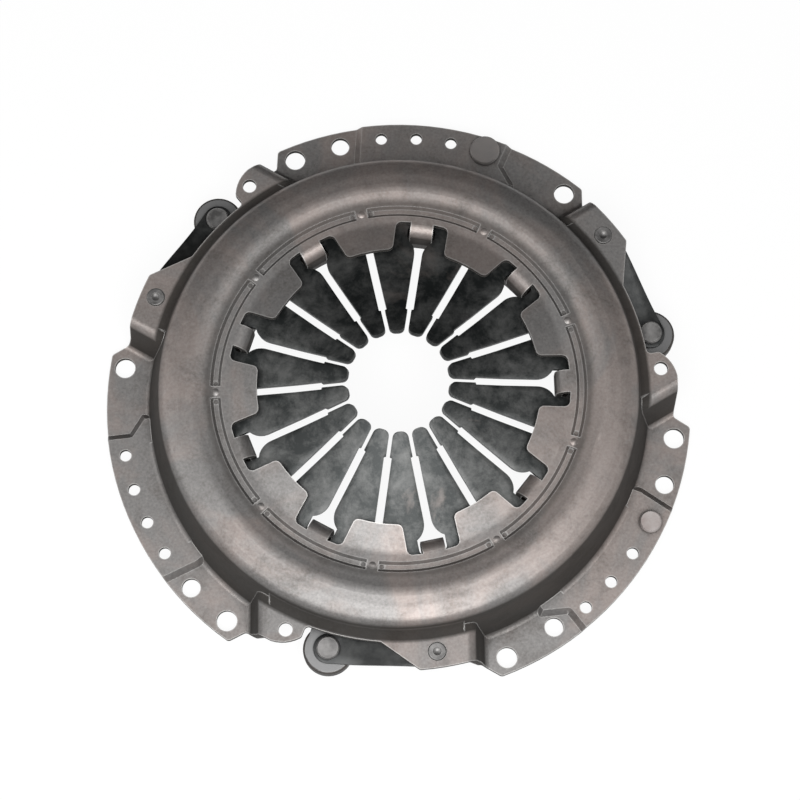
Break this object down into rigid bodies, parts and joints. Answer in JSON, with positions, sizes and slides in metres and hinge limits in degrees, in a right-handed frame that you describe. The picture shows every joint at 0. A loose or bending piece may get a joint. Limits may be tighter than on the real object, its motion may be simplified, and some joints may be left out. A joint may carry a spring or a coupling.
{
  "type": "clutch pressure plate",
  "caption": "Clutch cover assembly: pressed steel cover with raised strap ears, slotted diaphragm spring held by turned-over tabs, leaf strap packs and a cast pressure plate that lifts.",
  "frame": {"origin": "on the axis, in the plane of the flywheel under the bolt pads", "axes": "+Z along the axis from the flywheel to the release bearing; -Y towards the lug that is lowest in the source view"},
  "size_m": [0.2598, 0.2528, 0.0434],
  "materials": {
    "cover_steel": "pressed and phosphated, satin",
    "spring_steel": "shot-peened and oil-blackened, satin",
    "wire_steel": "drawn, satin",
    "plate_iron": "as cast, friction face ground",
    "strap_steel": "blackened, satin",
    "rivet_steel": "upset, satin",
    "plug_steel": "upset, satin"
  },
  "bodies": {
    "cover": {"clutch_cover": "cover_steel", "diaphragm_spring": "spring_steel", "pivot_ring": "wire_steel", "strap_1_leaf_1": "strap_steel", "strap_1_leaf_2": "strap_steel", "strap_1_leaf_3": "strap_steel", "strap_2_leaf_1": "strap_steel", "strap_2_leaf_2": "strap_steel", "strap_2_leaf_3": "strap_steel", "strap_3_leaf_1": "strap_steel", "strap_3_leaf_2": "strap_steel", "strap_3_leaf_3": "strap_steel", "cover_rivet_1": "rivet_steel", "cover_rivet_2": "rivet_steel", "cover_rivet_3": "rivet_steel", "balance_rivet_small": "rivet_steel", "balance_rivet_large": "plug_steel"},
    "plate": {"pressure_plate": "plate_iron", "lug_rivet_1": "rivet_steel", "lug_rivet_2": "rivet_steel", "lug_rivet_3": "rivet_steel"}
  },
  "joints": [
    {"name": "plate_lift", "type": "slide", "parent": "cover", "child": "plate", "axis": [0, 0, 1], "range_m": [0, 0.0042], "stiffness_N_per_m": 50000, "deforming": ["diaphragm_spring", "strap_1_leaf_1", "strap_1_leaf_2", "strap_1_leaf_3", "strap_2_leaf_1", "strap_2_leaf_2", "strap_2_leaf_3", "strap_3_leaf_1", "strap_3_leaf_2", "strap_3_leaf_3"]}
  ]
}
